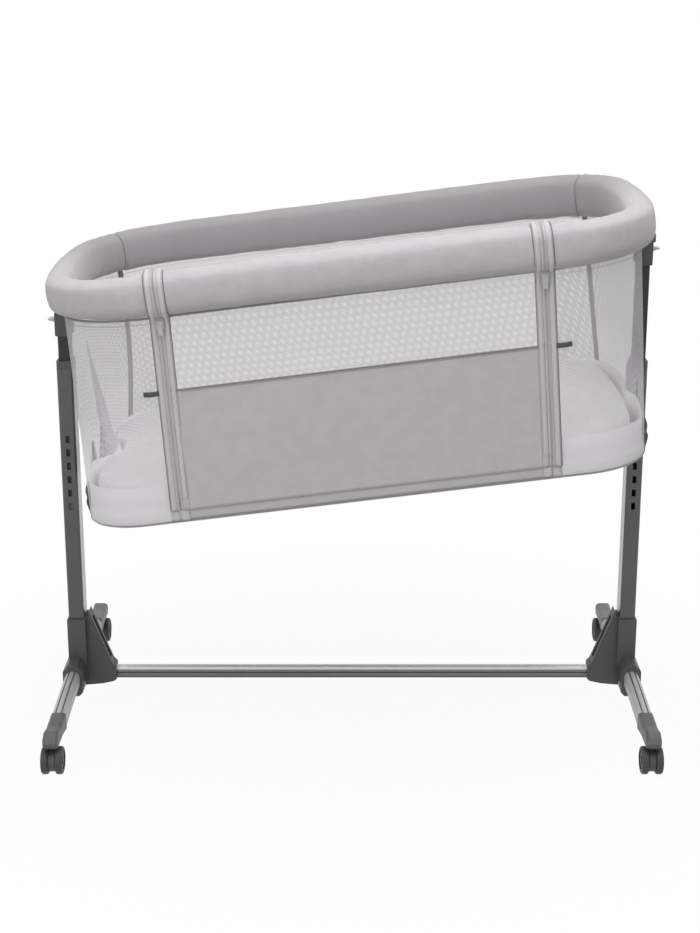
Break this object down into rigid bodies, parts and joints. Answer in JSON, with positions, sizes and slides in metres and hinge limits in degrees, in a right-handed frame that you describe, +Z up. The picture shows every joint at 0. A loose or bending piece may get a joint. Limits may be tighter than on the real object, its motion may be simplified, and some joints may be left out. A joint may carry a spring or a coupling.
{
  "type": "bedside sleeper crib",
  "caption": "Padded mesh baby basket on two height-adjustable legs with a wheeled base, tilted from end to end, with a zip-down front side.",
  "frame": {"origin": "on the floor, under the middle of the base", "axes": "+X along the crib to the end that stands higher, +Y away from the drop side, +Z up"},
  "size_m": [0.938, 0.568, 0.8443],
  "materials": {
    "leg_paint": "satin dark grey powder coat",
    "anodised": "satin, extruded with fine lines",
    "inner_tube": "satin dark grey powder coat",
    "hub_plastic": "matte dark grey",
    "cap_plastic": "matte mid grey",
    "head_plastic": "matte dark grey",
    "lever_plastic": "matte light grey",
    "wheel_rubber": "matte dark grey",
    "steel": "plain",
    "rim_fabric": "padded melange grey",
    "panel_fabric": "fine melange grey weave",
    "mesh_fabric": "open hexagonal mesh",
    "binding_tape": "woven tape",
    "strap_webbing": "woven webbing",
    "mattress_fabric": "soft knit",
    "board": "plain",
    "zip_metal": "painted grey"
  },
  "bodies": {
    "base": {"left_hub": "hub_plastic", "right_hub": "hub_plastic", "cross_bar": "anodised", "left_outer_leg": "leg_paint", "right_outer_leg": "leg_paint", "leg_collars": "hub_plastic", "left_foot_tube": "anodised", "right_foot_tube": "anodised", "front_left_end_cap": "cap_plastic", "front_right_end_cap": "cap_plastic", "rear_left_end_cap": "cap_plastic", "rear_right_end_cap": "cap_plastic", "hub_screws": "steel"},
    "left_upper_leg": {"left_inner_leg": "inner_tube", "left_leg_head": "head_plastic", "left_guide_plug": "head_plastic"},
    "right_upper_leg": {"right_inner_leg": "inner_tube", "right_leg_head": "head_plastic", "right_guide_plug": "head_plastic"},
    "left_pin": {"left_pivot_pin": "steel"},
    "basket": {"right_pivot_pin": "steel", "rim_frame_tube": "steel", "left_rim_bracket": "steel", "right_rim_bracket": "steel", "back_rim_padding": "rim_fabric", "left_rim_padding": "rim_fabric", "right_rim_padding": "rim_fabric", "back_mesh_wall": "mesh_fabric", "left_mesh_wall": "mesh_fabric", "right_mesh_wall": "mesh_fabric", "floor_frame_tube": "steel", "floor_board": "board", "floor_cover": "panel_fabric", "mattress": "mattress_fabric", "basket_zip_tapes": "binding_tape", "strap_loops": "strap_webbing", "rail_sockets": "head_plastic"},
    "drop_side": {"front_rail_tube": "steel", "front_rail_padding": "rim_fabric", "front_mesh_window": "mesh_fabric", "front_fabric_panel": "panel_fabric", "drop_side_zip_tapes": "binding_tape"},
    "left_slider": {"left_zip_slider": "zip_metal"},
    "left_pull": {"left_zip_pull": "zip_metal"},
    "left_lever": {"left_release_lever": "lever_plastic"},
    "left_rod": {"left_release_rod": "lever_plastic"},
    "left_catch": {"left_lock_catch": "lever_plastic"},
    "right_slider": {"right_zip_slider": "zip_metal"},
    "right_pull": {"right_zip_pull": "zip_metal"},
    "right_lever": {"right_release_lever": "lever_plastic"},
    "right_rod": {"right_release_rod": "lever_plastic"},
    "right_catch": {"right_lock_catch": "lever_plastic"},
    "front_left_swivel": {"front_left_caster_fork": "hub_plastic"},
    "front_left_wheel_pair": {"front_left_caster_wheels": "wheel_rubber"},
    "front_right_swivel": {"front_right_caster_fork": "hub_plastic"},
    "front_right_wheel_pair": {"front_right_caster_wheels": "wheel_rubber"},
    "rear_left_swivel": {"rear_left_caster_fork": "hub_plastic"},
    "rear_left_wheel_pair": {"rear_left_caster_wheels": "wheel_rubber"},
    "rear_right_swivel": {"rear_right_caster_fork": "hub_plastic"},
    "rear_right_wheel_pair": {"rear_right_caster_wheels": "wheel_rubber"}
  },
  "joints": [
    {"name": "left_leg_height", "type": "slide", "parent": "base", "child": "left_upper_leg", "axis": [0, 0, 1], "range_m": [0, 0.11]},
    {"name": "right_leg_height", "type": "slide", "parent": "base", "child": "right_upper_leg", "axis": [0, 0, 1], "range_m": [-0.11, 0]},
    {"name": "tilt_from_left", "type": "hinge", "parent": "left_upper_leg", "child": "left_pin", "pos_m": [-0.445, 0, 0.662], "axis": [0, -1, 0], "range_deg": [-7.1, 0]},
    {"name": "tilt_from_right", "type": "hinge", "parent": "left_pin", "child": "basket", "pos_m": [-0.445, 0, 0.662], "axis": [0, -1, 0], "range_deg": [-7.1, 0]},
    {"name": "left_lever_turn", "type": "hinge", "parent": "left_upper_leg", "child": "left_lever", "pos_m": [-0.438, 0, 0.641], "axis": [0, 1, 0], "range_deg": [-6, 12], "stiffness_Nm_per_rad": 0.6, "springref_deg": -6},
    {"name": "left_rod_lift", "type": "slide", "parent": "left_upper_leg", "child": "left_rod", "axis": [0, 0, 1], "range_m": [-0.00125, 0.00245]},
    {"name": "left_catch_draw", "type": "slide", "parent": "left_upper_leg", "child": "left_catch", "axis": [0, 1, 0], "range_m": [-0.00185, 0.00365]},
    {"name": "right_lever_turn", "type": "hinge", "parent": "right_upper_leg", "child": "right_lever", "pos_m": [0.438, 0, 0.751], "axis": [0, -1, 0], "range_deg": [-6, 12], "stiffness_Nm_per_rad": 0.6, "springref_deg": -6},
    {"name": "right_rod_lift", "type": "slide", "parent": "right_upper_leg", "child": "right_rod", "axis": [0, 0, 1], "range_m": [-0.00125, 0.00245]},
    {"name": "right_catch_draw", "type": "slide", "parent": "right_upper_leg", "child": "right_catch", "axis": [0, 1, 0], "range_m": [-0.00185, 0.00365]},
    {"name": "drop_side_fold", "type": "hinge", "parent": "basket", "child": "drop_side", "pos_m": [0.03389, -0.2458, 0.44279], "axis": [0.9924, 0, 0.1227], "range_deg": [0, 165]},
    {"name": "left_zip_run", "type": "slide", "parent": "drop_side", "child": "left_slider", "axis": [0.074, 0.0175, -0.9971], "range_m": [0, 0.262]},
    {"name": "left_pull_swing", "type": "hinge", "parent": "left_slider", "child": "left_pull", "pos_m": [-0.26885, -0.25592, 0.68924], "axis": [-0.9973, -0.0004, -0.074], "range_deg": [0, 120]},
    {"name": "right_zip_run", "type": "slide", "parent": "drop_side", "child": "right_slider", "axis": [0.074, 0.0175, -0.9971], "range_m": [0, 0.262]},
    {"name": "right_pull_swing", "type": "hinge", "parent": "right_slider", "child": "right_pull", "pos_m": [0.26708, -0.25592, 0.75548], "axis": [-0.9973, -0.0004, -0.074], "range_deg": [0, 120]},
    {"name": "front_left_swivel_turn", "type": "hinge", "parent": "base", "child": "front_left_swivel", "pos_m": [-0.449, -0.253, 0.044], "axis": [0, 0, 1], "continuous": true},
    {"name": "front_left_wheel_roll", "type": "hinge", "parent": "front_left_swivel", "child": "front_left_wheel_pair", "pos_m": [-0.449, -0.262, 0.021], "axis": [1, 0, 0], "continuous": true},
    {"name": "front_right_swivel_turn", "type": "hinge", "parent": "base", "child": "front_right_swivel", "pos_m": [0.449, -0.253, 0.044], "axis": [0, 0, 1], "continuous": true},
    {"name": "front_right_wheel_roll", "type": "hinge", "parent": "front_right_swivel", "child": "front_right_wheel_pair", "pos_m": [0.449, -0.262, 0.021], "axis": [1, 0, 0], "continuous": true},
    {"name": "rear_left_swivel_turn", "type": "hinge", "parent": "base", "child": "rear_left_swivel", "pos_m": [-0.449, 0.253, 0.044], "axis": [0, 0, 1], "continuous": true},
    {"name": "rear_left_wheel_roll", "type": "hinge", "parent": "rear_left_swivel", "child": "rear_left_wheel_pair", "pos_m": [-0.449, 0.262, 0.021], "axis": [1, 0, 0], "continuous": true},
    {"name": "rear_right_swivel_turn", "type": "hinge", "parent": "base", "child": "rear_right_swivel", "pos_m": [0.449, 0.253, 0.044], "axis": [0, 0, 1], "continuous": true},
    {"name": "rear_right_wheel_roll", "type": "hinge", "parent": "rear_right_swivel", "child": "rear_right_wheel_pair", "pos_m": [0.449, 0.262, 0.021], "axis": [1, 0, 0], "continuous": true}
  ],
  "couplings": [
    {"joint": "tilt_from_left", "follows": "left_leg_height", "rad_per_m": -1.1179},
    {"joint": "tilt_from_right", "follows": "right_leg_height", "rad_per_m": 1.1179},
    {"joint": "left_rod_lift", "follows": "left_lever_turn", "m_per_rad": 0.0116},
    {"joint": "left_catch_draw", "follows": "left_lever_turn", "m_per_rad": 0.017189},
    {"joint": "right_rod_lift", "follows": "right_lever_turn", "m_per_rad": 0.0116},
    {"joint": "right_catch_draw", "follows": "right_lever_turn", "m_per_rad": 0.017189}
  ]
}
